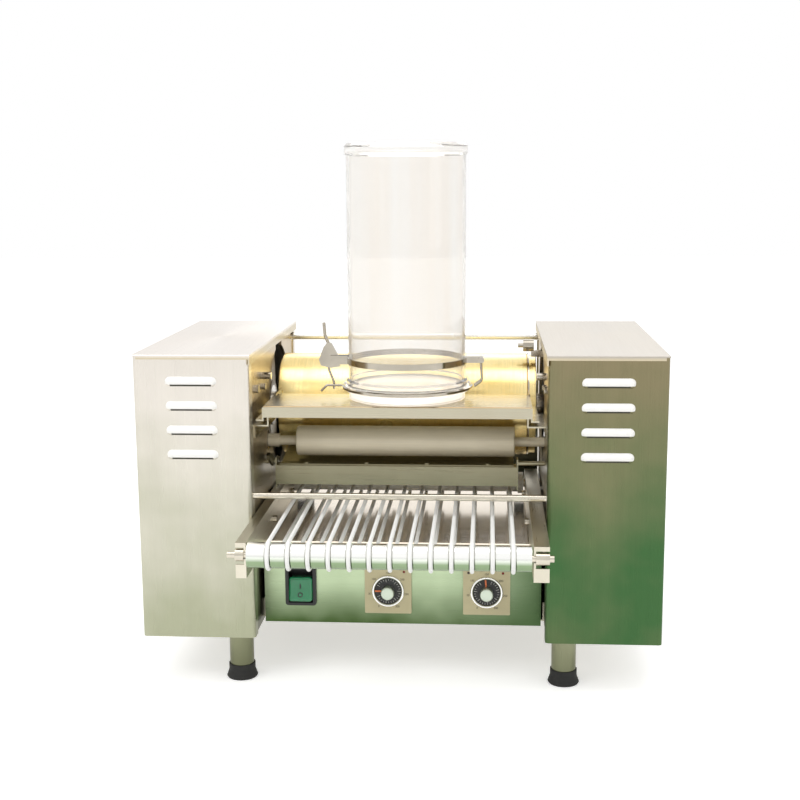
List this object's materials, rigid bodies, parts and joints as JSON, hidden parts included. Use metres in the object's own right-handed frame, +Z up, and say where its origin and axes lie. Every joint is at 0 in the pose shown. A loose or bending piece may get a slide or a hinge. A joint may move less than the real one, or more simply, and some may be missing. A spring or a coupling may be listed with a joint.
{
  "type": "drum crepe maker",
  "caption": "Countertop crepe machine: a heated gold drum between two louvred housings, with a batter tray, an upturned clear canister, a take-off roller, a scraper and a cord conveyor.",
  "frame": {"origin": "on the floor, at the centre of the object's footprint box", "axes": "+X to the right seen from the front, +Y from the conveyor's end to the back, +Z up"},
  "size_m": [0.52, 0.4026, 0.542],
  "materials": {
    "stainless": "brushed",
    "bright_steel": "polished",
    "gold": "polished, titanium nitride colour",
    "gear_steel": "machined",
    "white_plastic": "satin",
    "white_cord": "smooth polyurethane",
    "clear_plastic": "clear",
    "seal": "silicone",
    "black_rubber": "matt",
    "black_plastic": "matt",
    "green_plastic": "gloss",
    "dial_face": "satin",
    "motor_grey": "satin"
  },
  "bodies": {
    "frame": {"left_cover": "stainless", "right_cover": "stainless", "left_top_cover": "stainless", "right_top_cover": "stainless", "left_inner_wall": "stainless", "right_inner_wall": "stainless", "bottom_plates": "stainless", "rear_panels": "stainless", "drum_brackets": "stainless", "leg_tubes": "stainless", "rubber_feet": "black_rubber", "rear_tie_rod": "bright_steel", "front_guard_rod": "bright_steel", "control_panel": "stainless", "base_deck": "stainless", "base_bottom_plate": "stainless", "base_back_panel": "stainless", "power_inlet": "black_plastic", "terminal_block": "black_plastic", "shaft_bearings": "bright_steel", "heater_carrier": "bright_steel", "heater_rods": "bright_steel", "gearmotor": "motor_grey", "motor_bracket": "stainless", "tray_brackets": "stainless", "front_roller_shaft": "bright_steel", "conveyor_cords": "white_cord", "conveyor_plate_left": "stainless", "conveyor_plate_right": "stainless", "conveyor_fixings": "bright_steel", "wall_fittings": "bright_steel", "switch_bezel": "black_plastic", "thermostat_left": "dial_face", "thermostat_right": "dial_face"},
    "drum": {"drum_shell": "gold", "drum_end_left": "bright_steel", "drum_end_right": "bright_steel", "drum_gear": "gear_steel"},
    "takeoff": {"takeoff_roller": "stainless", "takeoff_gear": "gear_steel"},
    "pinion": {"motor_pinion": "gear_steel"},
    "idler": {"idler_gear": "gear_steel"},
    "conveyor_drive": {"rear_roller": "white_plastic", "rear_roller_shaft": "bright_steel", "conveyor_gear": "gear_steel"},
    "conveyor_front": {"front_roller": "white_plastic"},
    "scraper": {"scraper_carrier": "stainless", "scraper_blade": "stainless"},
    "tray": {"batter_tray": "stainless"},
    "canister": {"canister_body": "clear_plastic", "canister_lid": "clear_plastic", "canister_gasket": "seal", "band_clamp": "bright_steel", "lid_ring_wire": "bright_steel", "hinge_wires": "bright_steel"},
    "toggle": {"toggle_lever": "bright_steel"},
    "pull_wire": {"toggle_pull_wire": "bright_steel"},
    "rocker": {"rocker": "green_plastic"},
    "dial_l": {"dial_left": "black_plastic"},
    "dial_r": {"dial_right": "black_plastic"}
  },
  "joints": [
    {"name": "drum_spin", "type": "hinge", "parent": "frame", "child": "drum", "pos_m": [0, 0.0893, 0.26], "axis": [1, 0, 0], "continuous": true},
    {"name": "takeoff_spin", "type": "hinge", "parent": "frame", "child": "takeoff", "pos_m": [0, 0.01187, 0.233], "axis": [1, 0, 0], "continuous": true},
    {"name": "pinion_spin", "type": "hinge", "parent": "frame", "child": "pinion", "pos_m": [0, 0.13558, 0.20484], "axis": [1, 0, 0], "continuous": true},
    {"name": "idler_spin", "type": "hinge", "parent": "frame", "child": "idler", "pos_m": [0, 0.13238, 0.173], "axis": [1, 0, 0], "continuous": true},
    {"name": "conveyor_spin", "type": "hinge", "parent": "frame", "child": "conveyor_drive", "pos_m": [0, 0.1063, 0.166], "axis": [1, 0, 0], "continuous": true},
    {"name": "front_roller_spin", "type": "hinge", "parent": "frame", "child": "conveyor_front", "pos_m": [0, -0.1867, 0.166], "axis": [1, 0, 0], "continuous": true},
    {"name": "scraper_tilt", "type": "hinge", "parent": "frame", "child": "scraper", "pos_m": [0, -0.0067, 0.214], "axis": [1, 0, 0], "range_deg": [-12, 0]},
    {"name": "tray_lift", "type": "slide", "parent": "frame", "child": "tray", "axis": [0, 0, 1], "range_m": [0, 0.02]},
    {"name": "canister_lift", "type": "slide", "parent": "tray", "child": "canister", "axis": [0, 0, 1], "range_m": [0, 0.12]},
    {"name": "toggle_swing", "type": "hinge", "parent": "canister", "child": "toggle", "pos_m": [-0.07, -0.0217, 0.323], "axis": [0, 1, 0], "range_deg": [-75, 0]},
    {"name": "pull_wire_swing", "type": "hinge", "parent": "toggle", "child": "pull_wire", "pos_m": [-0.076, -0.0217, 0.331], "axis": [0, 1, 0], "range_deg": [0, 120]},
    {"name": "rocker_tilt", "type": "hinge", "parent": "frame", "child": "rocker", "pos_m": [-0.1045, -0.0527, 0.0935], "axis": [1, 0, 0], "range_deg": [0, 14]},
    {"name": "dial_left_turn", "type": "hinge", "parent": "frame", "child": "dial_l", "pos_m": [-0.014, -0.0587, 0.0903], "axis": [0, 1, 0], "range_deg": [-60, 240]},
    {"name": "dial_right_turn", "type": "hinge", "parent": "frame", "child": "dial_r", "pos_m": [0.087, -0.0587, 0.0903], "axis": [0, 1, 0], "range_deg": [-145, 155]}
  ],
  "couplings": [
    {"joint": "takeoff_spin", "follows": "drum_spin", "ratio": -1.9286},
    {"joint": "pinion_spin", "follows": "drum_spin", "ratio": -3},
    {"joint": "idler_spin", "follows": "drum_spin", "ratio": 3.8571},
    {"joint": "conveyor_spin", "follows": "drum_spin", "ratio": -4.1538},
    {"joint": "front_roller_spin", "follows": "drum_spin", "ratio": -4.1538},
    {"joint": "pull_wire_swing", "follows": "toggle_swing", "ratio": -1.6}
  ]
}
